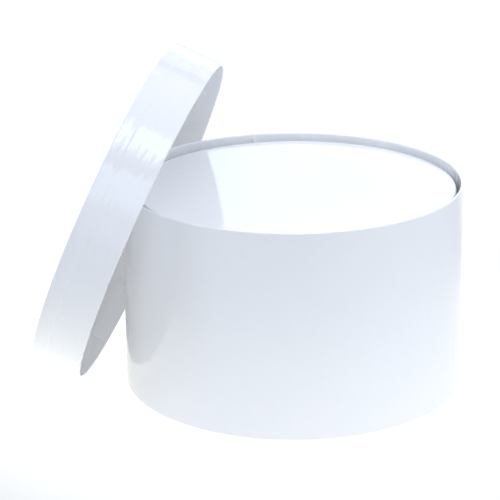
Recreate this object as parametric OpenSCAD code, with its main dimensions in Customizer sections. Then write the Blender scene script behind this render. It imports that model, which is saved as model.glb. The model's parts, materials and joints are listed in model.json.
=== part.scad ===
// Flower box: a nested pair of round hat boxes of board and glossy paper.
// The outer box stands on its base, its lid leans against it, and the
// smaller box stands inside with its own lid on.

/* [Outer box] */
// Outside diameter of the outer box, over its paper
outer_box_d = 200; // [150:1:300]
// Height of the outer box
outer_box_h = 122; // [95:1:200]

/* [Lids] */
// Height of each lid's rim
lid_h = 30; // [20:0.5:40]
// Slack between a lid and its own box, all round
lid_fit = 0.35; // [0.3:0.05:1.5]
// How far the top paper's edge shows above the rim wrap
lid_edge = 2; // [1:0.5:3]
// How far the top paper is turned down over the rim
lid_skirt = 8; // [5:0.5:12]

/* [Inner box] */
// Gap all round between the outer box's wall and the inner lid
nest_gap = 4.55; // [3:0.05:12]
// Depth of the inner lid's top below the outer box's rim
nest_depth = 3.7; // [1:0.1:15]
// How far the inner box stands off centre, along X
nest_shift = 1.9; // [0:0.1:2]

/* [Board and paper] */
// Thickness of the board in walls and rims
wall_board_t = 1.2; // [0.8:0.1:2]
// Thickness of the board in a box's base
base_board_t = 2; // [1:0.1:3]
// Thickness of the board in a lid's top
top_board_t = 2.5; // [1.5:0.1:3.5]
// Thickness of the glossy paper
paper_t = 0.2; // [0.15:0.05:0.3]
// Thickness of the lining paper
lining_t = 0.15; // [0.1:0.05:0.3]
// Depth of the paper turned in over an open edge
turn_in = 12; // [8:0.5:16]
// Width of the paper turned under a base
turn_under = 10; // [8:0.5:15]
// How far the base paper stops short of the outside
base_inset = 3; // [2:0.5:5]
// Number of snips round each turned edge
snips = 20; // [12:1:28]
// Width of each wrap's lapped seam
lap_w = 10; // [6:0.5:16]
// Width of the tape over each board joint
tape_w = 24; // [16:1:36]
// Thickness of that tape
tape_t = 0.12; // [0.1:0.01:0.2]

/* [Leaning lid] */
// Angle between the leaning lid's open side and upright
lean = 22.7; // [20:0.1:25]
// Turn of the leaning lid about the upright axis
lean_turn = -9.6; // [-20:0.1:20]
// How far the leaning lid stands to one side of the box's middle
lean_side = -8; // [-12:0.5:12]
// Clearance between the leaning lid's inside and the box's rim
lean_gap = 0.3; // [0.2:0.05:1]

/* [Hidden] */
$fn = 180;

GLOSS_WHITE = [0.97, 0.97, 0.98];
LINING_WHITE = [0.93, 0.93, 0.94];
GREYBOARD = [0.62, 0.60, 0.56];
TAPE_BUFF = [0.80, 0.69, 0.52];

// Layers of a wall, a base and a lid's top, from outside to inside
wall_stack = paper_t + wall_board_t + lining_t;
rim_stack = wall_stack + paper_t;
base_stack = 2 * paper_t + base_board_t + lining_t;
top_stack = paper_t + top_board_t + lining_t;

// Outside radii and heights of the four bodies
outer_box_r = outer_box_d / 2;
outer_lid_r = outer_box_r + lid_fit + rim_stack;
inner_lid_r = outer_box_r - rim_stack - nest_gap;
inner_box_r = inner_lid_r - lid_fit - rim_stack;
inner_box_z = base_stack;
inner_lid_z = outer_box_h - nest_depth - lid_h;
inner_box_h = outer_box_h - nest_depth - top_stack - inner_box_z;

// Both board joints and both seams stand at the back
BACK = 90;
LAP_TURN = 12;
joint_gap = 0.4;
snip_w = 0.5;
snip_start = 1.5;
flange_snip_w = 2.4;

// The leaning lid touches the floor at its foot, and its inside stops
// lean_gap short of the outer box's rim
lean_reach = lid_h - top_stack - lean_gap;
foot_back = outer_box_r + (sin(lean) * outer_box_h - lean_reach) / cos(lean);
foot = [
    -foot_back * cos(lean_turn) - lean_side * sin(lean_turn),
    -foot_back * sin(lean_turn) + lean_side * cos(lean_turn),
    0
];
lean_up = [
    sin(lean) * cos(lean_turn),
    sin(lean) * sin(lean_turn),
    cos(lean)
];

// Angle that a width takes up on a circle
function arc_angle(width, r) = width / r * 180 / PI;

// A ring between two radii and two heights
module ring(r_in, r_out, z0, z1) {
    rotate_extrude() translate([r_in, z0]) square([r_out - r_in, z1 - z0]);
}

// A stretch of ring, its middle at an angle
module arc_strip(r_in, r_out, z0, z1, width, at) {
    turn = arc_angle(width, r_out);
    rotate([0, 0, at - turn / 2])
        rotate_extrude(angle = turn)
            translate([r_in, z0])
                square([r_out - r_in, z1 - z0]);
}

module disc(r, z0, z1) {
    translate([0, 0, z0]) cylinder(r = r, h = z1 - z0);
}

// Copies of a cutter, evenly round the axis and clear of the seam
module round_the_axis(count) {
    for (i = [0 : count - 1])
        rotate([0, 0, (i + 0.5) * 360 / count]) children();
}

// A strip of board bent into a ring: its ends butt at the back, and it is
// pressed in under the tape that joins them
module board_ring(r, z0, z1) {
    r_out = r - paper_t;
    r_in = r_out - wall_board_t;
    color(GREYBOARD)
    difference() {
        ring(r_in, r_out, z0, z1);
        rotate([0, 0, BACK])
            translate([r_in - 1, -joint_gap / 2, z0 - 1])
                cube([wall_board_t + 2, joint_gap, z1 - z0 + 2]);
        arc_strip(r_in - 1, r_in + tape_t, z0 - 1, z1 + 1, tape_w, BACK);
    }
}

module joint_tape(r, z0, z1) {
    r_in = r - paper_t - wall_board_t;
    color(TAPE_BUFF) arc_strip(r_in, r_in + tape_t, z0, z1, tape_w, BACK);
}

// Notches that let a paper edge turn in against the inside of a ring. They
// open away from the rim at the height rim_z, downwards or upwards.
module turn_in_snips(r, rim_z, direction) {
    round_the_axis(snips)
        translate([r - rim_stack - 1, 0, rim_z])
            rotate([90, 0, 90])
                linear_extrude(1 + paper_t + lining_t)
                    polygon([
                        [0, direction * snip_start],
                        [snip_w, direction * (turn_in + 1)],
                        [-snip_w, direction * (turn_in + 1)]
                    ]);
}

// A box, its base at z = 0 and its outside radius r

module box_wall_board(r, h) {
    board_ring(r, 2 * paper_t, h - paper_t);
}

module box_wall_tape(r, h) {
    joint_tape(r, base_stack - lining_t, h - paper_t);
}

module box_base_board(r) {
    color(GREYBOARD)
    disc(r - paper_t - wall_board_t, 2 * paper_t, 2 * paper_t + base_board_t);
}

module box_wall_lining(r, h) {
    color(LINING_WHITE)
    ring(r - wall_stack, r - paper_t - wall_board_t, base_stack - lining_t, h - paper_t);
}

module box_base_lining(r) {
    color(LINING_WHITE)
    disc(r - wall_stack, base_stack - lining_t, base_stack);
}

// The glossy paper round the wall: over the rim and down inside it at the
// top, under the base at the bottom, lapped on itself at the back
module box_wall_wrap(r, h) {
    color(GLOSS_WHITE)
    difference() {
        union() {
            rotate_extrude() polygon([
                [r, paper_t],
                [r, h],
                [r - rim_stack, h],
                [r - rim_stack, h - turn_in],
                [r - wall_stack, h - turn_in],
                [r - wall_stack, h - paper_t],
                [r - paper_t, h - paper_t],
                [r - paper_t, 2 * paper_t],
                [r - turn_under, 2 * paper_t],
                [r - turn_under, paper_t]
            ]);
            arc_strip(r - paper_t / 2, r + paper_t, paper_t, h, lap_w, BACK + LAP_TURN);
        }
        turn_in_snips(r, h, -1);
        round_the_axis(snips)
            translate([0, 0, paper_t - 1])
                linear_extrude(2)
                    polygon([
                        [r - rim_stack, 0],
                        [r - turn_under - 1, flange_snip_w / 2],
                        [r - turn_under - 1, -flange_snip_w / 2]
                    ]);
    }
}

// The glossy disc under the base, glued to the turned-under edge all round
module box_base_paper(r) {
    color(GLOSS_WHITE) disc(r - base_inset, 0, paper_t);
}

// A lid, its open edge at z = 0 and its outside radius r

module lid_rim_board(r) {
    board_ring(r, paper_t, lid_h - paper_t - top_board_t);
}

module lid_rim_tape(r) {
    joint_tape(r, paper_t, lid_h - paper_t - top_board_t);
}

module lid_top_board(r) {
    color(GREYBOARD)
    disc(r - paper_t, lid_h - paper_t - top_board_t, lid_h - paper_t);
}

module lid_rim_lining(r) {
    color(LINING_WHITE)
    ring(
        r - wall_stack,
        r - paper_t - wall_board_t,
        paper_t,
        lid_h - paper_t - top_board_t
    );
}

module lid_top_lining(r) {
    color(LINING_WHITE)
    disc(r - wall_stack, lid_h - top_stack, lid_h - top_stack + lining_t);
}

// The glossy disc on top, its edge turned down over the rim
module lid_top_paper(r) {
    color(GLOSS_WHITE)
    rotate_extrude() polygon([
        [0, lid_h],
        [r, lid_h],
        [r, lid_h - lid_skirt],
        [r - paper_t, lid_h - lid_skirt],
        [r - paper_t, lid_h - paper_t],
        [0, lid_h - paper_t]
    ]);
}

// The glossy band round the rim: it climbs over the top paper's turned-down
// edge and is turned in round the open edge
module lid_rim_wrap(r) {
    color(GLOSS_WHITE)
    difference() {
        union() {
            rotate_extrude() polygon([
                [r, 0],
                [r, lid_h - lid_skirt - paper_t],
                [r + paper_t, lid_h - lid_skirt],
                [r + paper_t, lid_h - lid_edge],
                [r, lid_h - lid_edge],
                [r, lid_h - lid_skirt],
                [r - paper_t, lid_h - lid_skirt],
                [r - paper_t, paper_t],
                [r - wall_stack, paper_t],
                [r - wall_stack, turn_in],
                [r - rim_stack, turn_in],
                [r - rim_stack, 0]
            ]);
            arc_strip(
                r - paper_t / 2,
                r + paper_t,
                0,
                lid_h - lid_skirt - paper_t,
                lap_w,
                BACK + LAP_TURN
            );
        }
        turn_in_snips(r, 0, 1);
    }
}

// Where the four bodies stand

module outer_box_place() {
    children();
}

module outer_lid_place() {
    translate(foot + outer_lid_r * lean_up)
        rotate([0, lean - 90, lean_turn])
            children();
}

module inner_box_place() {
    translate([nest_shift, 0, inner_box_z]) children();
}

module inner_lid_place() {
    translate([nest_shift, 0, inner_lid_z]) children();
}

outer_box_place() box_wall_board(outer_box_r, outer_box_h);  // outer_box_wall_board
outer_box_place() box_wall_tape(outer_box_r, outer_box_h);  // outer_box_wall_tape
outer_box_place() box_base_board(outer_box_r);  // outer_box_base_board
outer_box_place() box_wall_lining(outer_box_r, outer_box_h);  // outer_box_wall_lining
outer_box_place() box_base_lining(outer_box_r);  // outer_box_base_lining
outer_box_place() box_wall_wrap(outer_box_r, outer_box_h);  // outer_box_wall_wrap
outer_box_place() box_base_paper(outer_box_r);  // outer_box_base_paper
outer_lid_place() lid_rim_board(outer_lid_r);  // outer_lid_rim_board
outer_lid_place() lid_rim_tape(outer_lid_r);  // outer_lid_rim_tape
outer_lid_place() lid_top_board(outer_lid_r);  // outer_lid_top_board
outer_lid_place() lid_rim_lining(outer_lid_r);  // outer_lid_rim_lining
outer_lid_place() lid_top_lining(outer_lid_r);  // outer_lid_top_lining
outer_lid_place() lid_top_paper(outer_lid_r);  // outer_lid_top_paper
outer_lid_place() lid_rim_wrap(outer_lid_r);  // outer_lid_rim_wrap
inner_box_place() box_wall_board(inner_box_r, inner_box_h);  // inner_box_wall_board
inner_box_place() box_wall_tape(inner_box_r, inner_box_h);  // inner_box_wall_tape
inner_box_place() box_base_board(inner_box_r);  // inner_box_base_board
inner_box_place() box_wall_lining(inner_box_r, inner_box_h);  // inner_box_wall_lining
inner_box_place() box_base_lining(inner_box_r);  // inner_box_base_lining
inner_box_place() box_wall_wrap(inner_box_r, inner_box_h);  // inner_box_wall_wrap
inner_box_place() box_base_paper(inner_box_r);  // inner_box_base_paper
inner_lid_place() lid_rim_board(inner_lid_r);  // inner_lid_rim_board
inner_lid_place() lid_rim_tape(inner_lid_r);  // inner_lid_rim_tape
inner_lid_place() lid_top_board(inner_lid_r);  // inner_lid_top_board
inner_lid_place() lid_rim_lining(inner_lid_r);  // inner_lid_rim_lining
inner_lid_place() lid_top_lining(inner_lid_r);  // inner_lid_top_lining
inner_lid_place() lid_top_paper(inner_lid_r);  // inner_lid_top_paper
inner_lid_place() lid_rim_wrap(inner_lid_r);  // inner_lid_rim_wrap
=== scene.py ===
"""Nested round flower boxes: gloss paper over board, the outer lid leaning on its box.

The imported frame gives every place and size. This file adds what the eye sees:
the glossy wraps with their turned-in tabs and lapped seams, the plain linings,
the materials, and a small studio stage.
"""

import json
import math

import bmesh
import bpy
import numpy as np
from mathutils import Euler, Matrix, Vector, noise


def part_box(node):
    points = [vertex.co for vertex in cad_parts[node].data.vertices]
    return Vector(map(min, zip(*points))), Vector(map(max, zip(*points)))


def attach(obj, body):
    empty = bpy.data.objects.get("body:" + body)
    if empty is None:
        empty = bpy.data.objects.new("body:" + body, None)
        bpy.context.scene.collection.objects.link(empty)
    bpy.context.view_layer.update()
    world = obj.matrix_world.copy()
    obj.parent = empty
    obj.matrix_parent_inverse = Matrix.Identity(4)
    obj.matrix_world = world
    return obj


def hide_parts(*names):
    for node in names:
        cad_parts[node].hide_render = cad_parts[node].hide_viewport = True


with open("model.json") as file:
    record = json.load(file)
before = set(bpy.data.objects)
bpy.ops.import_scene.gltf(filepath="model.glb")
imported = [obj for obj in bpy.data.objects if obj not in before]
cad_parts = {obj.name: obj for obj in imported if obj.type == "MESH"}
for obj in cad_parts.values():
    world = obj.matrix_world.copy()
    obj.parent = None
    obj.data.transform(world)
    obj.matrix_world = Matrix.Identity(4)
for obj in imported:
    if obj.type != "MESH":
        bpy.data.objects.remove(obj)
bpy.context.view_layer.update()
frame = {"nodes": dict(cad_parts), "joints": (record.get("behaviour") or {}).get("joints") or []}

bl_info = {
    "name": "Nested Flower Boxes",
    "version": (1, 0, 0),
    "blender": (4, 5, 0),
    "location": "View3D > Sidebar > Flower Boxes",
    "description": "Builds the papers, linings and materials of two nested round boxes",
    "category": "Add Mesh",
}

MM = 0.001

# ---------------------------------------------------------------- sizes


def thickness_of(node):
    """Height of an upright node's box."""
    low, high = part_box(node)
    return high.z - low.z


PAPER_T = thickness_of("outer_box_base_paper")
LINING_T = thickness_of("inner_box_base_lining")
TOP_BOARD_T = thickness_of("inner_lid_top_board")
BASE_BOARD_T = thickness_of("outer_box_base_board")


class Round:
    """A round body: its axis, outside radius and height, in its own upright frame."""

    def __init__(self, name, radius, height, place):
        self.name = name
        self.radius = radius
        self.height = height
        self.place = place


def leaning_lid():
    """The outer lid, from its hinge's axis and range and from its top board's box."""
    tip = next(j for j in frame["joints"] if j["child"] == "outer_lid")
    lean = math.radians(tip["range_deg"][1]) - math.pi / 2
    turn = math.atan2(tip["axis"][0], -tip["axis"][1])
    turned = Euler((0, lean - math.pi / 2, turn)).to_matrix()
    axis = turned @ Vector((0, 0, 1))
    low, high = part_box("outer_lid_top_board")
    # A tilted disc's box is centred on the disc, and its width gives the radius
    across = math.sqrt(1 - axis.y**2)
    radius = ((high.y - low.y) - TOP_BOARD_T * abs(axis.y)) / (2 * across) + PAPER_T
    height = lid_height()
    middle = height - PAPER_T - TOP_BOARD_T / 2
    foot = (low + high) / 2 - axis * middle
    return Round("outer_lid", radius, height, Matrix.Translation(foot) @ turned.to_4x4())


def lid_height():
    """From the inner lid's open edge to the top of its paper."""
    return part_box("inner_lid_top_paper")[1].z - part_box("inner_lid_rim_wrap")[0].z


def inner_lid():
    """The inner lid, its radius taken at the top paper's edge."""
    low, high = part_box("inner_lid_top_paper")
    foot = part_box("inner_lid_rim_wrap")[0].z
    place = Matrix.Translation(((low.x + high.x) / 2, 0, foot))
    return Round("inner_lid", (high.x - low.x) / 2, high.z - foot, place)


def box_body(name):
    """A box stands on its base paper, which is below its wrap's lowest face."""
    wrap_low, wrap_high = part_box(name + "_wall_wrap")
    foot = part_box(name + "_base_paper")[0].z
    place = Matrix.Translation(((wrap_low.x + wrap_high.x) / 2, 0, foot))
    return Round(name, (wrap_high.x - wrap_low.x) / 2, wrap_high.z - foot, place)


BOXES = [box_body("outer_box"), box_body("inner_box")]
LIDS = [leaning_lid(), inner_lid()]


class FlowerBoxSizes(bpy.types.PropertyGroup):
    """Sizes of the paper covering that a maker would change."""

    board_t: bpy.props.FloatProperty(
        name="Wall Board",
        description="Thickness of the board in walls and rims",
        default=1.2 * MM,
        unit="LENGTH",
    )
    turn_in: bpy.props.FloatProperty(
        name="Turn-in",
        description="Depth of the paper turned in over an open edge",
        default=12 * MM,
        unit="LENGTH",
    )
    turn_under: bpy.props.FloatProperty(
        name="Turn-under",
        description="Width of the paper turned under a base",
        default=10 * MM,
        unit="LENGTH",
    )
    base_inset: bpy.props.FloatProperty(
        name="Base Inset",
        description="How far the base paper stops short of the outside",
        default=3 * MM,
        unit="LENGTH",
    )
    lid_skirt: bpy.props.FloatProperty(
        name="Lid Skirt",
        description="How far the top paper is turned down over the rim",
        default=8 * MM,
        unit="LENGTH",
    )
    lid_edge: bpy.props.FloatProperty(
        name="Lid Edge",
        description="How far the top paper shows above the rim wrap",
        default=2 * MM,
        unit="LENGTH",
    )
    lap: bpy.props.FloatProperty(
        name="Seam Lap",
        description="Width of each wrap's lapped seam at the back",
        default=10 * MM,
        unit="LENGTH",
    )
    edge_round: bpy.props.FloatProperty(
        name="Edge Rounding",
        description="Radius of the paper where it folds over a board edge",
        default=0.6 * MM,
        unit="LENGTH",
    )
    snips: bpy.props.IntProperty(
        name="Snips",
        description="Number of snips round each turned edge",
        default=20,
        min=12,
        max=28,
    )
    waviness: bpy.props.FloatProperty(
        name="Waviness",
        description="How far the glued paper strays from a true round",
        default=0.07 * MM,
        unit="LENGTH",
    )
    pleat: bpy.props.FloatProperty(
        name="Pleats",
        description="Height of the small pleats where the top paper turns down",
        default=0.06 * MM,
        unit="LENGTH",
    )
    snip_mouth: bpy.props.FloatProperty(
        name="Snip Mouth",
        description="Width of each snip at the paper's cut edge",
        default=1.6 * MM,
        unit="LENGTH",
    )
    tab_lift: bpy.props.FloatProperty(
        name="Tab Lift",
        description="How far the ends of a lid's turned-in tabs stand off",
        default=0.15 * MM,
        unit="LENGTH",
    )


def linear(hex_colour):
    """An sRGB hex colour as linear red, green and blue."""
    channels = [int(hex_colour[i:i + 2], 16) / 255 for i in (0, 2, 4)]
    return tuple(
        c / 12.92 if c <= 0.04045 else ((c + 0.055) / 1.055) ** 2.4 for c in channels
    )


class FlowerBoxColours(bpy.types.PropertyGroup):
    """Colours of the papers and boards."""

    gloss_white: bpy.props.FloatVectorProperty(
        name="Gloss Paper",
        description="White of the gloss-laminated paper",
        subtype="COLOR",
        default=linear("FAFBFC"),
        min=0,
        max=1,
    )
    lining_white: bpy.props.FloatVectorProperty(
        name="Lining Paper",
        description="White of the plain lining paper",
        subtype="COLOR",
        default=linear("F7F7F8"),
        min=0,
        max=1,
    )
    greyboard: bpy.props.FloatVectorProperty(
        name="Greyboard",
        description="Grey of the recycled board",
        subtype="COLOR",
        default=linear("A39C90"),
        min=0,
        max=1,
    )
    tape_buff: bpy.props.FloatVectorProperty(
        name="Gummed Tape",
        description="Buff of the gummed paper tape",
        subtype="COLOR",
        default=linear("CBB085"),
        min=0,
        max=1,
    )


COOL_WHITE = "DCE8FF"
NEUTRAL_WHITE = "FFFFFF"
# Colour of the painted glow that the floor's patches give off
FLOOR_PAINTED_GLOW = "FFFFFA"

# ------------------------------------------------------------- geometry

# Mesh columns round a wrap, steps round each fold, and the angle from which an edge
# is shaded sharp
COLUMNS = 540
FOLD_STEPS = 6
SHARP_EDGE = math.radians(40)

# How far apart the mesh rows lie
BOX_STEP = 1.7 * MM
LID_STEP = 0.7 * MM
DISC_EDGE_STEP = 0.8 * MM
BOX_LINING_STEP = 2 * MM
LID_LINING_STEP = 1.5 * MM

# A disc's outer ring follows its path for this width, and its grid fills the rest
DISC_RING = 2 * MM

# Long waves round and up a glued wrap, and fine ones round and along it
WAVE = (48 * MM, 90 * MM)
FINE_WAVE = (8 * MM, 1.9 * MM)

# Shares of the waviness: fine waves on each wrap, and both kinds on a lining
BOX_FINE_SHARE = 0.12
LID_FINE_SHARE = 1.8
LINING_SHARE = 0.7
LINING_FINE_SHARE = 0.2

# Creases beside a folded rim: depth, reach to each side, length, and place by the fold
FOLD_CREASE = 0.12 * MM
CREASE_REACH = 1.2 * MM
CREASE_LENGTH = 4.5 * MM
CREASE_OUTSIDE = 2.4 * MM
CREASE_INSIDE = 2 * MM

# A lapped seam: its middle, the ramp on to the paper below, its free end, and its
# rise in thicknesses of paper, which is less where the paper faces down
SEAM_MIDDLE = math.radians(102)
LAP_RAMP = 1.5 * MM
LAP_END = 4 * MM
LAP_RISE = 1.04
LAP_RISE_UNDER = 0.9

# Snips: how far each stops short of its fold, how far it may slant, how wide it is
# under a base, and how far its tabs overlap near the fold
UNDER_SNIP_STOP = 1 * MM
BOX_SNIP_STOP = 0.6 * MM
LID_SNIP_STOP = 1.2 * MM
SNIP_SLANT = 1.2 * MM
UNDER_SNIP_MOUTH = 2.4 * MM
TAB_OVERLAP = 0.5 * MM

# A box's tabs stand off this many times as far as a lid's
BOX_TAB_LIFT = 5

# Cockles in the tabs, and pleats in a few of them: length round the wall and up it
COCKLE = (4.5 * MM, 40 * MM)
PLEAT = (1.3 * MM, 30 * MM)
PLEATED_STRETCH = 30 * MM

# Waves in a pasted disc, each with its length and its share of the disc's stray
DISC_WAVES = ((60 * MM, 1), (18 * MM, 0.15), (5 * MM, 0.015))
DISC_FADE = 8 * MM
TOP_SHARE = 1.2
FLOOR_STRAY = 0.03 * MM
CEILING_STRAY = 0.05 * MM

# Waves in the turned-down edge of a top paper: length round the rim and down it
SKIRT_WAVE = (5 * MM, 9 * MM)
SKIRT_FADE = 2 * MM
SKIRT_CLEARANCE = 0.2 * MM

# Length in which the rim wrap steps out over the top paper's edge
RIM_STEP = 1 * MM

# A lining stops short of its open edge, and its disc stops short of its wall
LINING_SHORT = 1 * MM
LINING_GAP = 0.1 * MM

# Each of these strays follows its own line through the noise: how far apart
# neighbours lie on it, how far apart seeds lie, and its level
SNIP_PLACE = (1.7, 3.1, 0.4)
SNIP_SLOPE = (2.3, 1.3, 8.2)
SNIP_WIDTH = (3.3, 2.2, 4.4)
TAB_RISE = (0.91, 2.7, 3.3)
TAB_CURL = (1.37, 1.9, 6.1)
TAB_LENGTH = (1.11, 1.1, 9.7)
CUT_EDGE = (0.05, 1, 2.2)


def rounded_path(corners, step):
    """A path in radius and height through corners, each (radius, height, rounding)."""
    points = [np.array(corners[0][:2])]
    for before, corner, after in zip(corners, corners[1:], corners[2:]):
        here = np.array(corner[:2])
        back = np.array(before[:2]) - here
        on = np.array(after[:2]) - here
        back /= np.linalg.norm(back)
        on /= np.linalg.norm(on)
        half = math.acos(np.clip(back @ on, -1, 1)) / 2
        reach = corner[2] / math.tan(half)
        centre = here + (back + on) / np.linalg.norm(back + on) * corner[2] / math.sin(half)
        start, end = here + back * reach, here + on * reach
        add_line(points, start, step)
        sweep = math.pi - 2 * half
        first, last = start - centre, end - centre
        for k in range(1, FOLD_STEPS + 1):
            t = k / FOLD_STEPS
            arc = (
                math.sin((1 - t) * sweep) * first + math.sin(t * sweep) * last
            ) / math.sin(sweep)
            points.append(centre + arc)
    add_line(points, np.array(corners[-1][:2]), step)
    return np.array(points)


def add_line(points, end, step):
    """Evenly spaced points from the last one to end."""
    start = points[-1]
    count = max(1, math.ceil(np.linalg.norm(end - start) / step))
    points.extend(start + (end - start) * k / count for k in range(1, count + 1))


def path_normals(path):
    """The side of the path that the glossy face looks to."""
    along = np.gradient(path, axis=0)
    along /= np.linalg.norm(along, axis=1)[:, None]
    return np.stack([along[:, 1], -along[:, 0]], axis=1)


def path_lengths(path):
    """Distance along the path at each point."""
    steps = np.linalg.norm(np.diff(path, axis=0), axis=1)
    return np.concatenate([[0], np.cumsum(steps)])


def fold_length(path, height):
    """Distance along the path to the middle of its fold at height."""
    return path_lengths(path)[np.abs(path[:, 1] - height) < 1e-6].mean()


def wander(index, seed, line):
    """Smooth noise, from -1 to 1, for one of a row of like things."""
    apart, seeds_apart, level = line
    return noise.noise((index * apart, seed * seeds_apart, level))


def ripple(angles, radii, heights, wave, tall, seed):
    """Smooth noise round a wall, from -1 to 1: wave is its length round the wall,
    and tall its length up it."""
    x = np.cos(angles) * radii / wave
    y = np.sin(angles) * radii / wave
    z = np.broadcast_to(heights, angles.shape) / tall + seed * 7.31
    flat = np.stack([x, y, z], axis=-1).reshape(-1, 3)
    values = [noise.noise(p) for p in flat.tolist()]
    return np.array(values).reshape(angles.shape)


def sheet_object(name, points, normals, thickness, present, uv, place):
    """A thin closed sheet from a grid of points, rows by columns. Quads are left out
    where present is false."""
    rows, columns = points.shape[:2]
    outer = points.reshape(-1, 3)
    inner = (points - normals * thickness).reshape(-1, 3)
    offset = rows * columns
    row, column = np.nonzero(present)
    a = row * columns + column
    b = a + 1
    c = b + columns
    d = a + columns
    faces = [np.stack([a, b, c, d], 1), np.stack([d, c, b, a], 1) + offset]
    padded = np.zeros((rows + 1, columns + 1), bool)
    padded[1:-1, 1:-1] = present
    below = ~padded[row, column + 1]
    above = ~padded[row + 2, column + 1]
    left = ~padded[row + 1, column]
    right = ~padded[row + 1, column + 2]
    for bare, p, q in ((below, b, a), (right, c, b), (above, d, c), (left, a, d)):
        p, q = p[bare], q[bare]
        faces.append(np.stack([p, q, q + offset, p + offset], 1))
    vertices = np.concatenate([outer, inner])
    flat_uv = uv.reshape(-1, 2)
    return mesh_object(name, vertices, np.concatenate(faces), np.tile(flat_uv, (2, 1)), place)


def mesh_object(name, vertices, faces, uv, place):
    """A smooth-shaded object with sharp paper edges, put in its place."""
    mesh = bpy.data.meshes.new(name)
    mesh.from_pydata(vertices.tolist(), [], faces.tolist())
    mesh.validate()
    layer = mesh.uv_layers.new(name="Paper")
    corners = np.empty(len(mesh.loops), int)
    mesh.loops.foreach_get("vertex_index", corners)
    layer.data.foreach_set("uv", uv[corners].ravel())
    remove_unused(mesh)
    mesh.transform(place)
    mesh.shade_smooth()
    mesh.set_sharp_from_angle(angle=SHARP_EDGE)
    piece = bpy.data.objects.new(name, mesh)
    bpy.context.scene.collection.objects.link(piece)
    return piece


def remove_unused(mesh):
    """Deletes the vertices that no face uses."""
    built = bmesh.new()
    built.from_mesh(mesh)
    loose = [v for v in built.verts if not v.link_faces]
    bmesh.ops.delete(built, geom=loose, context="VERTS")
    built.to_mesh(mesh)
    built.free()


class Snips:
    """Snips cut into one end of a sheet so that it can be turned round a curve: how
    many, how deep, how wide at the cut edge, how far the tabs between them lift, and
    whether they are at the start of the sheet's path or at its end."""

    def __init__(self, count, depth, mouth, lift, at_start):
        self.count = count
        self.depth = depth
        self.mouth = mouth
        self.lift = lift
        self.at_start = at_start

    def into(self, length):
        """0 where the paper is whole, rising to 1 at its free end."""
        from_end = length if self.at_start else length[-1] - length
        return np.clip(1 - from_end / self.depth, 0, 1)

    def columns(self, seed):
        """The column where each snip falls, a little unevenly."""
        shakes = [wander(k, seed, SNIP_PLACE) for k in range(self.count)]
        spacing = COLUMNS / self.count
        return [round((k + 0.5 + 0.6 * shake) * spacing) for k, shake in enumerate(shakes)]

    def cut(self, angles, present, radii, length, seed):
        """Draws the columns beside each snip to the edges of its two tabs, which overlap
        near the fold and part towards the cut edge."""
        into = self.into(length)
        cut_rows = into > 0
        inside = cut_rows[:-1] & cut_rows[1:]
        deep = into[cut_rows]
        round_here = radii[cut_rows]
        for k, column in enumerate(self.columns(seed)):
            middle = (angles[cut_rows, column] + angles[cut_rows, column + 1]) / 2
            slant = wander(k, seed, SNIP_SLOPE) * SNIP_SLANT
            wide = self.mouth * (0.8 + 0.5 * wander(k, seed, SNIP_WIDTH))
            half = (wide * deep - TAB_OVERLAP * (1 - deep)) / 2
            angles[cut_rows, column] = middle + (slant * deep - half) / round_here
            angles[cut_rows, column + 1] = middle + (slant * deep + half) / round_here
            present[inside, column] = False

    def stand_off(self, angles, radius, length, seed):
        """How far each tab stands off the wall, and how far its end was cut long."""
        columns = angles.shape[1]
        into = self.into(length)[:, None]
        edges = np.array(self.columns(seed))
        tab = np.searchsorted(edges, np.arange(columns) - 0.5)
        starts = np.concatenate([[0], edges])[tab]
        across = (np.arange(columns) - starts) * self.count / COLUMNS - 0.5
        rise = np.array([abs(wander(t, seed, TAB_RISE)) for t in tab])
        # Each tab curls away most at its far corner
        curl = np.array([wander(t, seed, TAB_CURL) for t in tab])
        curl = np.clip(0.8 + curl, 0, 1) * np.clip(across * 2, 0, 1) ** 5
        off = np.clip(0.6 * rise + curl, 0, 1) * self.lift
        long = np.array([wander(t, seed, TAB_LENGTH) for t in tab])
        ragged = np.array([wander(c, seed, CUT_EDGE) for c in range(columns)])
        longer = (long * 0.9 + ragged * 0.5) * MM
        loose = 1 - (1 - into) ** 5
        cockle = self.cockle(angles, radius, length, seed) * np.clip(into * 8, 0, 1)
        return loose * off[None, :] + cockle * self.lift, into * longer[None, :]

    def cockle(self, angles, radius, length, seed):
        """Soft cockles in the tabs, as a share of the lift, and small pleats in a few."""
        along = length[:, None]
        soft = ripple(angles, radius, along, *COCKLE, seed + 7)
        few = ripple(angles, radius, along * 0, PLEATED_STRETCH, 1, seed + 9)
        pleats = ripple(angles, radius, along, *PLEAT, seed + 8) * np.clip(few * 3, 0, 1)
        return soft * 0.4 + pleats * 0.35


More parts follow.
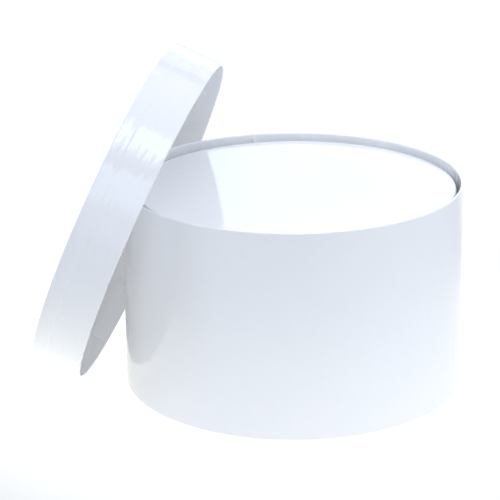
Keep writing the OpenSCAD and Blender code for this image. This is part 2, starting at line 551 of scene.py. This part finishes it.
def wrapped_sheet(name, path, body, snip_sets, folds, lap, thickness, stray, fine_stray, seed):
    """A strip of paper wrapped once round a body along path and lapped on itself,
    creased where it is folded over at the lengths in folds."""
    widest = path[:, 0].max()
    columns = COLUMNS + 1 + math.ceil(COLUMNS * lap / widest / math.tau)
    seam = SEAM_MIDDLE - lap / widest / 2
    base = seam + np.arange(columns) * math.tau / COLUMNS
    rows = len(path)
    length = path_lengths(path)
    angles = np.tile(base, (rows, 1))
    present = np.ones((rows - 1, columns - 1), bool)
    out = np.zeros((rows, columns))
    onward = np.zeros((rows, columns))
    for k, snips in enumerate(snip_sets):
        snips.cut(angles, present, path[:, 0], length, seed + 3 * k)
        off, longer = snips.stand_off(angles, widest, length, seed + 3 * k)
        out += off
        onward += -longer if snips.at_start else longer
    heights = path[:, 1][:, None]
    out += ripple(angles, widest, heights, *WAVE, seed) * stray
    out += ripple(angles, widest, length[:, None], *FINE_WAVE, seed + 1) * fine_stray
    for at in folds:
        near = np.exp(-(((length - at) / CREASE_REACH) ** 2))[:, None]
        pressed = ripple(angles, widest, heights * 0, CREASE_LENGTH, 1, seed + 2)
        pressed = np.clip(pressed + 0.05, 0, 0.5) * 2
        out -= pressed * near * FOLD_CREASE
    normal = path_normals(path)
    along = np.stack([-normal[:, 1], normal[:, 0]], 1)
    ramp = np.clip((base - seam - math.tau) * widest / LAP_RAMP + 1, 0, 1)
    lapped = np.where(normal[:, 1] < -0.5, LAP_RISE_UNDER, LAP_RISE) * thickness
    out += lapped[:, None] * (ramp * ramp * (3 - 2 * ramp))[None, :]
    if snip_sets:
        # The lap's turned-in end is cut slanting and springs up a little
        last = np.clip(1 - (base[-1] - base) * widest / LAP_END, 0, 1)[None, :]
        tucked_in = snip_sets[-1].into(length)[:, None]
        out += last**2 * np.clip(tucked_in * 4, 0, 1) * snip_sets[-1].lift
        angles -= last * tucked_in * LAP_END / widest
    radial = path[:, 0][:, None] + normal[:, :1] * out + along[:, :1] * onward
    upward = heights + normal[:, 1:] * out + along[:, 1:] * onward
    points = np.stack([radial * np.cos(angles), radial * np.sin(angles), upward], -1)
    facing_x = normal[:, :1] * np.cos(angles)
    facing_y = normal[:, :1] * np.sin(angles)
    facing_z = np.broadcast_to(normal[:, 1:], angles.shape)
    facing = np.stack([facing_x, facing_y, facing_z], -1)
    uv = np.stack([angles * widest, np.broadcast_to(length[:, None], angles.shape)], -1)
    return sheet_object(name, points, facing, thickness, present, uv, body.place)


def disc_grid(count):
    """A square grid mapped to the unit disc, its edge evenly spaced in angle."""
    line = np.linspace(-1, 1, count + 1)
    x, y = np.meshgrid(line, line)
    wide = np.abs(x) >= np.abs(y)
    safe_x = np.where(x == 0, 1, x)
    safe_y = np.where(y == 0, 1, y)
    radius = np.where(wide, x, y)
    quarter = math.pi / 4
    angle = np.where(wide, quarter * y / safe_x, 2 * quarter - quarter * x / safe_y)
    return radius * np.cos(angle), radius * np.sin(angle)


def grid_edge(count):
    """Indices of a square grid's edge, once round, anticlockwise from a corner."""
    side = count + 1
    steps = np.arange(count)
    bottom = steps
    right = steps * side + count
    top = count * side + count - steps
    left = (count - steps) * side
    return np.concatenate([bottom, right, top, left])


def disc_sheet(name, path, body, thickness, stray, skirt_stray, seed, flip=False):
    """A disc of paper in the plane where path ends, its edge carried back along path.
    The good face looks up the body's axis, or down it with flip."""
    count = COLUMNS // 4
    side = count + 1
    radius, height = path[-1]
    x, y = disc_grid(count)
    flat = np.stack([x.ravel(), y.ravel()], 1) * radius
    from_axis = np.linalg.norm(flat, axis=1)
    angle = np.arctan2(flat[:, 1], flat[:, 0])
    level = np.array(0.0)
    fade = np.clip((radius - from_axis) / DISC_FADE, 0, 1)
    bulge = sum(
        ripple(angle, from_axis, level, wave, 1, seed + k) * share
        for k, (wave, share) in enumerate(DISC_WAVES)
    )
    good = np.concatenate([flat, (height + bulge * fade * stray)[:, None]], 1)
    back = good - np.array([0, 0, thickness])
    row, column = np.divmod(np.arange(count * count), count)
    a = row * side + column
    top = np.stack([a, a + 1, a + side + 1, a + side], 1)
    quads = [top, top[:, ::-1] + len(good)]
    vertices = [good, back]
    uv = [flat, flat]
    edge = grid_edge(count)
    around = np.arctan2(good[edge, 1], good[edge, 0])
    total = 2 * len(good)
    loop_good, loop_back = edge, edge + len(good)
    normal = path_normals(path)
    length = path_lengths(path)
    for k in range(len(path) - 2, -1, -1):
        depth = np.clip((height - path[k, 1]) / SKIRT_FADE, 0, 1)
        wave = ripple(around, path[k, 0], np.array(path[k, 1]), *SKIRT_WAVE, seed + 4)
        wave = wave * depth * skirt_stray
        flat_radius = radius + length[-1] - length[k]
        for below in (0, thickness):
            radial = path[k, 0] + normal[k, 0] * (wave - below)
            up = path[k, 1] + normal[k, 1] * (wave - below)
            vertices.append(np.stack([radial * np.cos(around), radial * np.sin(around), up], 1))
            uv.append(np.stack([np.cos(around), np.sin(around)], 1) * flat_radius)
        new_good = np.arange(len(edge)) + total
        new_back = new_good + len(edge)
        total += 2 * len(edge)
        quads.append(ring_quads(loop_good, new_good))
        quads.append(ring_quads(loop_back, new_back)[:, ::-1])
        loop_good, loop_back = new_good, new_back
    quads.append(ring_quads(loop_good, loop_back))
    place = body.place @ Matrix.Rotation(math.pi, 4, "X") if flip else body.place
    vertices = np.concatenate(vertices)
    return mesh_object(name, vertices, np.concatenate(quads), np.concatenate(uv), place)


def ring_quads(inner, outer):
    """Quads between two loops of vertices of the same count."""
    return np.stack([inner, outer, np.roll(outer, -1), np.roll(inner, -1)], 1)


# ------------------------------------------------------------ materials


def add(tree, kind, settings=None, links=None):
    """Adds a node, sets its properties and inputs by name, and links its inputs."""
    node = tree.nodes.new(kind)
    for name, value in (settings or {}).items():
        if hasattr(node, name):
            setattr(node, name, value)
        else:
            node.inputs[name].default_value = value
    for name, socket in (links or {}).items():
        tree.links.new(socket, node.inputs[name])
    return node


def new_material(name):
    """An empty node material: its tree, its shader and itself."""
    material = bpy.data.materials.new(name)
    material.use_nodes = True
    tree = material.node_tree
    tree.nodes.clear()
    shader = add(tree, "ShaderNodeBsdfPrincipled")
    output = add(tree, "ShaderNodeOutputMaterial")
    tree.links.new(shader.outputs["BSDF"], output.inputs["Surface"])
    return material, tree, shader


def shade(colour, factor):
    """A colour darkened or lightened by factor, with full opacity."""
    return tuple(min(1, c * factor) for c in colour) + (1,)


def gloss_laminated_paper(colours):
    """White art paper under a clear gloss film, pressed on by hot rollers.
    The film mirrors like glass, and the paper's grain under it breaks the mirror into
    a faint orange peel and long soft ripples."""
    material, tree, shader = new_material("Gloss Laminated Art Paper")
    where = add(tree, "ShaderNodeTexCoord")
    white = tuple(colours.gloss_white)
    # Cloudy formation of the sheet, in flocks of about 6 mm
    cloud = add(
        tree,
        "ShaderNodeTexNoise",
        {"Scale": 1 / (6 * MM), "Detail": 3, "Roughness": 0.6},
        {"Vector": where.outputs["Object"]},
    )
    tint = add(
        tree,
        "ShaderNodeMix",
        {"data_type": "RGBA"},
        {"Factor": cloud.outputs["Fac"]},
    )
    tint.inputs[6].default_value = shade(white, 0.985)
    tint.inputs[7].default_value = shade(white, 1.01)
    tree.links.new(tint.outputs[2], shader.inputs["Base Color"])
    # Film pressed over paper fibres: peel about 0.9 mm across
    peel = add(
        tree,
        "ShaderNodeTexNoise",
        {"Scale": 1 / (0.9 * MM), "Detail": 2, "Roughness": 0.5},
        {"Vector": where.outputs["Object"]},
    )
    peel_bump = add(
        tree,
        "ShaderNodeBump",
        {"Strength": 0.5, "Distance": 0.004 * MM},
        {"Height": peel.outputs["Fac"]},
    )
    # Ripples left by gluing, about 9 mm long round the wall and 2 mm across
    along = add(tree, "ShaderNodeUVMap", {"uv_map": "Paper"})
    ripples = add(
        tree,
        "ShaderNodeMapping",
        {"Scale": (1 / (9 * MM), 1 / (2 * MM), 1)},
        {"Vector": along.outputs["UV"]},
    )
    streak = add(
        tree,
        "ShaderNodeTexNoise",
        {"Scale": 1, "Detail": 1, "Distortion": 0.4},
        {"Vector": ripples.outputs["Vector"]},
    )
    streak_bump = add(
        tree,
        "ShaderNodeBump",
        {"Strength": 1, "Distance": 0.05 * MM},
        {"Height": streak.outputs["Fac"], "Normal": peel_bump.outputs["Normal"]},
    )
    tree.links.new(streak_bump.outputs["Normal"], shader.inputs["Normal"])
    shader.inputs["Roughness"].default_value = 0.08
    shader.inputs["IOR"].default_value = 1.58
    return material


def plain_lining_paper(colours):
    """Uncoated white lining paper, matt, with the felt side's fine fibre tooth
    and a slightly cloudy formation."""
    material, tree, shader = new_material("Uncoated Lining Paper")
    where = add(tree, "ShaderNodeTexCoord")
    white = tuple(colours.lining_white)
    cloud = add(
        tree,
        "ShaderNodeTexNoise",
        {"Scale": 1 / (5 * MM), "Detail": 4, "Roughness": 0.62},
        {"Vector": where.outputs["Object"]},
    )
    tint = add(
        tree,
        "ShaderNodeMix",
        {"data_type": "RGBA"},
        {"Factor": cloud.outputs["Fac"]},
    )
    tint.inputs[6].default_value = shade(white, 0.96)
    tint.inputs[7].default_value = shade(white, 1.03)
    tree.links.new(tint.outputs[2], shader.inputs["Base Color"])
    # Fibres are about 0.03 mm wide; drawn as tufts of 0.5 mm so that they show
    tooth = add(
        tree,
        "ShaderNodeTexNoise",
        {"Scale": 1 / (0.5 * MM), "Detail": 4, "Roughness": 0.7},
        {"Vector": where.outputs["Object"]},
    )
    bump = add(
        tree,
        "ShaderNodeBump",
        {"Strength": 0.5, "Distance": 0.03 * MM},
        {"Height": tooth.outputs["Fac"]},
    )
    tree.links.new(bump.outputs["Normal"], shader.inputs["Normal"])
    shader.inputs["Roughness"].default_value = 0.62
    shader.inputs["IOR"].default_value = 1.47
    return material


def recycled_greyboard(colours):
    """Greyboard laid up from recycled fibre: dull grey-brown, flecked with darker
    and lighter scraps, with a soft matt tooth."""
    material, tree, shader = new_material("Recycled Greyboard")
    where = add(tree, "ShaderNodeTexCoord")
    grey = tuple(colours.greyboard)
    fleck = add(
        tree,
        "ShaderNodeTexNoise",
        {"Scale": 1 / (1.6 * MM), "Detail": 6, "Roughness": 0.72},
        {"Vector": where.outputs["Object"]},
    )
    ramp = add(tree, "ShaderNodeValToRGB", None, {"Fac": fleck.outputs["Fac"]})
    ramp.color_ramp.elements[0].position = 0.3
    ramp.color_ramp.elements[0].color = shade(grey, 0.62)
    ramp.color_ramp.elements[1].position = 0.7
    ramp.color_ramp.elements[1].color = shade(grey, 1.18)
    middle = ramp.color_ramp.elements.new(0.48)
    middle.color = shade(grey, 1)
    tree.links.new(ramp.outputs["Color"], shader.inputs["Base Color"])
    bump = add(
        tree,
        "ShaderNodeBump",
        {"Strength": 0.6, "Distance": 0.06 * MM},
        {"Height": fleck.outputs["Fac"]},
    )
    tree.links.new(bump.outputs["Normal"], shader.inputs["Normal"])
    shader.inputs["Roughness"].default_value = 0.88
    shader.inputs["IOR"].default_value = 1.45
    return material


def gummed_kraft_tape(colours):
    """Buff kraft paper tape, wetted to bring up its glue: long fibres run up it,
    and the dried glue leaves a dull sheen."""
    material, tree, shader = new_material("Gummed Kraft Tape")
    where = add(tree, "ShaderNodeTexCoord")
    buff = tuple(colours.tape_buff)
    # Kraft fibres are 2 to 3 mm long, here 0.3 mm wide so that they show
    fibres = add(
        tree,
        "ShaderNodeMapping",
        {"Scale": (1 / (0.3 * MM), 1 / (0.3 * MM), 1 / (2.6 * MM))},
        {"Vector": where.outputs["Object"]},
    )
    strand = add(
        tree,
        "ShaderNodeTexNoise",
        {"Scale": 1, "Detail": 3, "Roughness": 0.65},
        {"Vector": fibres.outputs["Vector"]},
    )
    ramp = add(tree, "ShaderNodeValToRGB", None, {"Fac": strand.outputs["Fac"]})
    ramp.color_ramp.elements[0].position = 0.25
    ramp.color_ramp.elements[0].color = shade(buff, 0.72)
    ramp.color_ramp.elements[1].position = 0.75
    ramp.color_ramp.elements[1].color = shade(buff, 1.1)
    tree.links.new(ramp.outputs["Color"], shader.inputs["Base Color"])
    bump = add(
        tree,
        "ShaderNodeBump",
        {"Strength": 0.5, "Distance": 0.02 * MM},
        {"Height": strand.outputs["Fac"]},
    )
    tree.links.new(bump.outputs["Normal"], shader.inputs["Normal"])
    shader.inputs["Roughness"].default_value = 0.55
    shader.inputs["IOR"].default_value = 1.5
    return material


MAKERS = {
    "gloss_paper": gloss_laminated_paper,
    "lining_paper": plain_lining_paper,
    "greyboard": recycled_greyboard,
    "gummed_tape": gummed_kraft_tape,
}
made = {}


def finish_of(slot, context):
    """The material of a slot, made once."""
    if slot not in made:
        made[slot] = MAKERS[slot](context.scene.flower_box_colours)
    return made[slot]


def fit_out(piece, body, node, slot, context):
    """Gives a new piece the material made for its slot and its body, and hides the node it
    replaces.
    """
    piece.data.materials.append(finish_of(slot, context))
    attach(piece, body.name)
    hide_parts(node)


# ------------------------------------------------------------ operators


class FLOWERBOX_OT_box_wraps(bpy.types.Operator):
    """Wrap both boxes in gloss paper, turned in over the rim and under the base"""

    bl_idname = "flower_box.box_wraps"
    bl_label = "Box Wraps"

    def execute(self, context):
        sizes = context.scene.flower_box_sizes
        inner = sizes.board_t + LINING_T + 2 * PAPER_T
        bend = sizes.edge_round
        for seed, body in enumerate(BOXES, 11):
            r, h = body.radius, body.height
            corners = [
                (r - sizes.turn_under, PAPER_T),
                (r, PAPER_T, bend),
                (r, h, bend),
                (r - inner, h, bend),
                (r - inner, h - sizes.turn_in),
            ]
            path = rounded_path(corners, BOX_STEP)
            under_depth = sizes.turn_under - UNDER_SNIP_STOP
            under = Snips(sizes.snips, under_depth, UNDER_SNIP_MOUTH, 0, True)
            tucked = Snips(
                sizes.snips, sizes.turn_in - BOX_SNIP_STOP, sizes.snip_mouth,
                sizes.tab_lift * BOX_TAB_LIFT, False,
            )
            name = body.name + "_gloss_wrap"
            rim = fold_length(path, h)
            piece = wrapped_sheet(
                name, path, body, [under, tucked], [rim - CREASE_OUTSIDE, rim + CREASE_INSIDE],
                sizes.lap, PAPER_T, sizes.waviness, sizes.waviness * BOX_FINE_SHARE, seed,
            )
            fit_out(piece, body, body.name + "_wall_wrap", "gloss_paper", context)
        return {"FINISHED"}


class FLOWERBOX_OT_lid_wraps(bpy.types.Operator):
    """Wrap both lids' rims in gloss paper, turned in at the open edge"""

    bl_idname = "flower_box.lid_wraps"
    bl_label = "Lid Wraps"

    def execute(self, context):
        sizes = context.scene.flower_box_sizes
        inner = sizes.board_t + LINING_T + 2 * PAPER_T
        bend = sizes.edge_round
        for seed, body in enumerate(LIDS, 21):
            r, h = body.radius, body.height
            step = h - sizes.lid_skirt
            corners = [
                (r - inner, sizes.turn_in),
                (r - inner, 0, bend),
                (r, 0, bend),
                (r, step - RIM_STEP, bend),
                (r + PAPER_T, step, bend),
                (r + PAPER_T, h - sizes.lid_edge),
            ]
            path = rounded_path(corners, LID_STEP)
            tucked = Snips(
                sizes.snips, sizes.turn_in - LID_SNIP_STOP, sizes.snip_mouth,
                sizes.tab_lift, True,
            )
            name = body.name + "_gloss_rim"
            piece = wrapped_sheet(
                name, path, body, [tucked], [fold_length(path, 0) + CREASE_OUTSIDE],
                sizes.lap, PAPER_T, sizes.waviness, sizes.waviness * LID_FINE_SHARE, seed,
            )
            fit_out(piece, body, body.name + "_rim_wrap", "gloss_paper", context)
        return {"FINISHED"}


class FLOWERBOX_OT_top_papers(bpy.types.Operator):
    """Cover both lids' tops with a disc of gloss paper turned down over the rim"""

    bl_idname = "flower_box.top_papers"
    bl_label = "Lid Top Papers"

    def execute(self, context):
        sizes = context.scene.flower_box_sizes
        for seed, body in enumerate(LIDS, 31):
            r, h = body.radius, body.height
            corners = [
                (r, h - sizes.lid_skirt + SKIRT_CLEARANCE),
                (r, h, sizes.edge_round),
                (r - DISC_RING, h),
            ]
            path = rounded_path(corners, DISC_EDGE_STEP)
            piece = disc_sheet(
                body.name + "_gloss_top", path, body, PAPER_T,
                sizes.waviness * TOP_SHARE, sizes.pleat, seed,
            )
            fit_out(piece, body, body.name + "_top_paper", "gloss_paper", context)
        return {"FINISHED"}


class FLOWERBOX_OT_base_papers(bpy.types.Operator):
    """Cover both bases with a disc of gloss paper"""

    bl_idname = "flower_box.base_papers"
    bl_label = "Base Papers"

    def execute(self, context):
        sizes = context.scene.flower_box_sizes
        for seed, body in enumerate(BOXES, 41):
            edge = body.radius - sizes.base_inset
            path = rounded_path([(edge, 0), (edge - DISC_RING, 0)], DISC_EDGE_STEP)
            piece = disc_sheet(
                body.name + "_gloss_base", path, body, PAPER_T, 0, 0, seed, flip=True
            )
            fit_out(piece, body, body.name + "_base_paper", "gloss_paper", context)
        return {"FINISHED"}


class FLOWERBOX_OT_linings(bpy.types.Operator):
    """Line walls, rims, bases and tops with plain white paper"""

    bl_idname = "flower_box.linings"
    bl_label = "Linings"

    def execute(self, context):
        sizes = context.scene.flower_box_sizes
        inset = sizes.board_t + LINING_T + PAPER_T
        floor = PAPER_T * 2 + BASE_BOARD_T + LINING_T
        for seed, body in enumerate(BOXES, 51):
            r, h = body.radius - inset, body.height
            top_edge = h - LINING_SHORT
            path = rounded_path([(r, top_edge), (r, floor - LINING_T)], BOX_LINING_STEP)
            wall = wrapped_sheet(
                body.name + "_wall_lining_paper", path, body, [], [], sizes.lap, LINING_T,
                sizes.waviness * LINING_SHARE, sizes.waviness * LINING_FINE_SHARE, seed,
            )
            fit_out(wall, body, body.name + "_wall_lining", "lining_paper", context)
            edge = r - LINING_GAP
            path = rounded_path([(edge, floor), (edge - DISC_RING, floor)], DISC_EDGE_STEP)
            base = disc_sheet(
                body.name + "_base_lining_paper", path, body, LINING_T, FLOOR_STRAY, 0, seed + 4
            )
            fit_out(base, body, body.name + "_base_lining", "lining_paper", context)
        for seed, body in enumerate(LIDS, 61):
            r, h = body.radius - inset, body.height
            ceiling = h - PAPER_T - TOP_BOARD_T - LINING_T
            path = rounded_path([(r, ceiling + LINING_T), (r, LINING_SHORT)], LID_LINING_STEP)
            rim = wrapped_sheet(
                body.name + "_rim_lining_paper", path, body, [], [], sizes.lap, LINING_T,
                sizes.waviness * LINING_SHARE, sizes.waviness * LINING_FINE_SHARE, seed,
            )
            fit_out(rim, body, body.name + "_rim_lining", "lining_paper", context)
            edge = r - LINING_GAP
            path = rounded_path([(edge, -ceiling), (edge - DISC_RING, -ceiling)], DISC_EDGE_STEP)
            top = disc_sheet(
                body.name + "_top_lining_paper", path, body, LINING_T, CEILING_STRAY, 0,
                seed + 4, flip=True,
            )
            fit_out(top, body, body.name + "_top_lining", "lining_paper", context)
        return {"FINISHED"}


class FLOWERBOX_OT_boards(bpy.types.Operator):
    """Give the boards and the tape over their joints their own finish"""

    bl_idname = "flower_box.boards"
    bl_label = "Boards and Tape"

    def execute(self, context):
        for name in frame["nodes"]:
            if name.endswith("_board"):
                slot = "greyboard"
            elif name.endswith("_tape"):
                slot = "gummed_tape"
            else:
                continue
            part = bpy.data.objects[name]
            part.data.materials.clear()
            part.data.materials.append(finish_of(slot, context))
        return {"FINISHED"}


class FLOWERBOX_OT_stage(bpy.types.Operator):
    """Set a floor with painted glow patches, soft lights and the camera"""

    bl_idname = "flower_box.stage"
    bl_label = "Stage"

    def execute(self, context):
        scene = context.scene
        add_floor()
        add_sky(scene)
        add_tent()
        add_camera(scene)
        scene.view_settings.view_transform = "Standard"
        return {"FINISHED"}


# The floor's side and how far it is below the boxes, the room's grey, how far away
# the panels stand, and how wide each one in the ring is
FLOOR_SIZE = 12
FLOOR_DROP = 0.1 * MM
ROOM_GREY = 0.17
TENT_RADIUS = 1.9
PANEL_WIDTH = 1.57


def add_floor():
    """A pale floor with painted glow in patches under, beside and behind the boxes, which lights
    them from below.
    """
    bpy.ops.mesh.primitive_plane_add(size=FLOOR_SIZE, location=(0, 0, -FLOOR_DROP))
    floor = bpy.context.object
    floor.name = "Floor"
    material, tree, shader = new_material("Floor With Painted Glow Patches")
    where = add(tree, "ShaderNodeTexCoord")
    # Patches of painted glow in the floor, placed to light the boxes' shaded sides and the space
    # under the leaning lid and to keep the floor white, each with its middle, the radii where it
    # starts to fade and is gone, and its level
    patches = (
        ((0, 0, 0), 0.17, 0.33, 0.4),
        ((0, 0, 0), 0.25, 0.5, 0.15),
        ((-0.17, 0.1, 0), 0.15, 0.25, 0.25),
        ((0, 0.75, 0), 0.42, 0.62, 0.6),
    )
    total = None
    for middle, full, faded, level in patches:
        glow = add_glow(tree, where, middle, full, faded, level)
        if total:
            links = {0: total, 1: glow}
            total = add(tree, "ShaderNodeMath", {"operation": "ADD"}, links).outputs["Value"]
        else:
            total = glow
    # The patches' sum drives the floor's emission: painted glow that lights the boxes where they
    # would be in shade
    tree.links.new(total, shader.inputs["Emission Strength"])
    shader.inputs["Emission Color"].default_value = linear(FLOOR_PAINTED_GLOW) + (1,)
    shader.inputs["Base Color"].default_value = linear("C0C0BE") + (1,)
    shader.inputs["Roughness"].default_value = 0.9
    shader.inputs["Specular IOR Level"].default_value = 0.2
    floor.data.materials.append(material)


def add_glow(tree, where, middle, full, faded, level):
    """A round patch of light, at its level out to full and gone at faded."""
    away = add(
        tree,
        "ShaderNodeVectorMath",
        {"operation": "DISTANCE"},
        {0: where.outputs["Object"]},
    )
    away.inputs[1].default_value = middle
    limits = {"From Min": full, "From Max": faded, "To Min": level, "To Max": 0}
    limits["interpolation_type"] = "SMOOTHSTEP"
    patch = add(tree, "ShaderNodeMapRange", limits, {"Value": away.outputs["Value"]})
    return patch.outputs["Result"]


def add_sky(scene):
    """A dim room: most of its light comes from the panels and the floor."""
    world = bpy.data.worlds.new("Studio")
    scene.world = world
    world.use_nodes = True
    backdrop = world.node_tree.nodes["Background"]
    backdrop.inputs["Color"].default_value = (ROOM_GREY, ROOM_GREY, ROOM_GREY, 1)


def add_tent():
    """A ring of soft panels round the boxes, a ceiling, a card and a key light above
    the front. Bearings are from straight behind the boxes, clockwise from above."""
    # Height of a panel's middle, and how tall it is
    low, high = (0.42, 0.84), (1.35, 1.0)
    ring = (
        ("Low Behind", 0, low, 0.9, COOL_WHITE),
        ("Low Behind Right", 45, low, 0.9, NEUTRAL_WHITE),
        ("Low Front Right", 135, low, 0.8, NEUTRAL_WHITE),
        ("Low Front", 180, low, 0.7, COOL_WHITE),
        ("High Behind", 0, high, 0.8, COOL_WHITE),
        ("High Behind Right", 45, high, 0.9, COOL_WHITE),
        ("High Right", 90, high, 2.8, COOL_WHITE),
        ("High Front", 180, high, 1.6, COOL_WHITE),
        ("High Left", 270, high, 3, COOL_WHITE),
    )
    for name, bearing, (middle, tall), radiance, white in ring:
        turn = math.radians(bearing)
        aim = Vector((0, 0, middle))
        place = Vector((math.sin(turn), math.cos(turn), 0)) * TENT_RADIUS + aim
        add_panel(name, place, aim, PANEL_WIDTH, tall, radiance, white)
    over = Vector((0, 0, 2.2))
    add_panel("Ceiling", over, Vector((0, 0, 0)), 3.4, 3.4, 0.8, NEUTRAL_WHITE)
    # A card that the inner lid's gloss mirrors towards the camera
    card = Vector((0, TENT_RADIUS, 0.72))
    add_panel("Card", card, Vector((0, 0, 0.12)), 0.95, 0.5, 0.5, COOL_WHITE)
    lid = Vector((-0.08, -0.06, 0.16))
    key = Vector((0.18, -0.42, 0.89)).normalized()
    add_panel("Key", lid + key * 1.35, lid, 0.5, 0.34, 2.5, COOL_WHITE)


def add_panel(name, place, target, width, height, radiance, white):
    """A soft panel facing target, its brightness given as radiance."""
    light = bpy.data.lights.new(name, "AREA")
    light.shape = "RECTANGLE"
    light.size = width
    light.size_y = height
    light.energy = radiance * width * height * math.pi
    light.color = tuple(c / linear(white)[1] for c in linear(white))
    panel = bpy.data.objects.new(name, light)
    turned = (target - place).to_track_quat("-Z", "Y").to_matrix().to_4x4()
    panel.matrix_world = Matrix.Translation(place) @ turned
    bpy.context.scene.collection.objects.link(panel)


def add_camera(scene):
    """A long lens from a little above the boxes' front."""
    back, up = 1.182, 0.4876
    yaw, pitch, roll = (math.radians(a) for a in (-1.22, 19.1, -0.5))
    ahead = Vector((
        math.sin(yaw) * math.cos(pitch),
        math.cos(yaw) * math.cos(pitch),
        -math.sin(pitch),
    ))
    level = Vector((math.cos(yaw), -math.sin(yaw), 0))
    above = level.cross(ahead)
    across = level * math.cos(roll) + above * math.sin(roll)
    upright = above * math.cos(roll) - level * math.sin(roll)
    turned = Matrix((across, upright, -ahead)).transposed().to_4x4()
    lens = bpy.data.cameras.new("Camera")
    lens.lens = 152
    lens.sensor_width = 36
    camera = bpy.data.objects.new("Camera", lens)
    camera.matrix_world = Matrix.Translation((0, -back, up)) @ turned
    scene.collection.objects.link(camera)
    scene.camera = camera


class FLOWERBOX_PT_panel(bpy.types.Panel):
    """Lists the steps that build the flower boxes"""

    bl_label = "Flower Boxes"
    bl_idname = "FLOWERBOX_PT_panel"
    bl_space_type = "VIEW_3D"
    bl_region_type = "UI"
    bl_category = "Flower Boxes"

    def draw(self, context):
        layout = self.layout
        for group in (context.scene.flower_box_sizes, context.scene.flower_box_colours):
            column = layout.column(align=True)
            for name in group.__annotations__:
                column.prop(group, name)
        for step in STEPS:
            layout.operator(step.bl_idname)


STEPS = (
    FLOWERBOX_OT_stage,
    FLOWERBOX_OT_box_wraps,
    FLOWERBOX_OT_lid_wraps,
    FLOWERBOX_OT_top_papers,
    FLOWERBOX_OT_base_papers,
    FLOWERBOX_OT_linings,
    FLOWERBOX_OT_boards,
)
CLASSES = (FlowerBoxSizes, FlowerBoxColours) + STEPS + (FLOWERBOX_PT_panel,)


def register():
    """Registers the classes and hangs the settings on the scene."""
    for cls in CLASSES:
        bpy.utils.register_class(cls)
    bpy.types.Scene.flower_box_sizes = bpy.props.PointerProperty(type=FlowerBoxSizes)
    bpy.types.Scene.flower_box_colours = bpy.props.PointerProperty(type=FlowerBoxColours)


def unregister():
    """Takes the settings and the classes away again."""
    del bpy.types.Scene.flower_box_colours
    del bpy.types.Scene.flower_box_sizes
    for cls in reversed(CLASSES):
        bpy.utils.unregister_class(cls)


def main():
    """Builds everything in order."""
    register()
    bpy.ops.flower_box.stage()
    bpy.ops.flower_box.box_wraps()
    bpy.ops.flower_box.lid_wraps()
    bpy.ops.flower_box.top_papers()
    bpy.ops.flower_box.base_papers()
    bpy.ops.flower_box.linings()
    bpy.ops.flower_box.boards()
    bpy.context.view_layer.update()


if __name__ == "__main__":
    main()
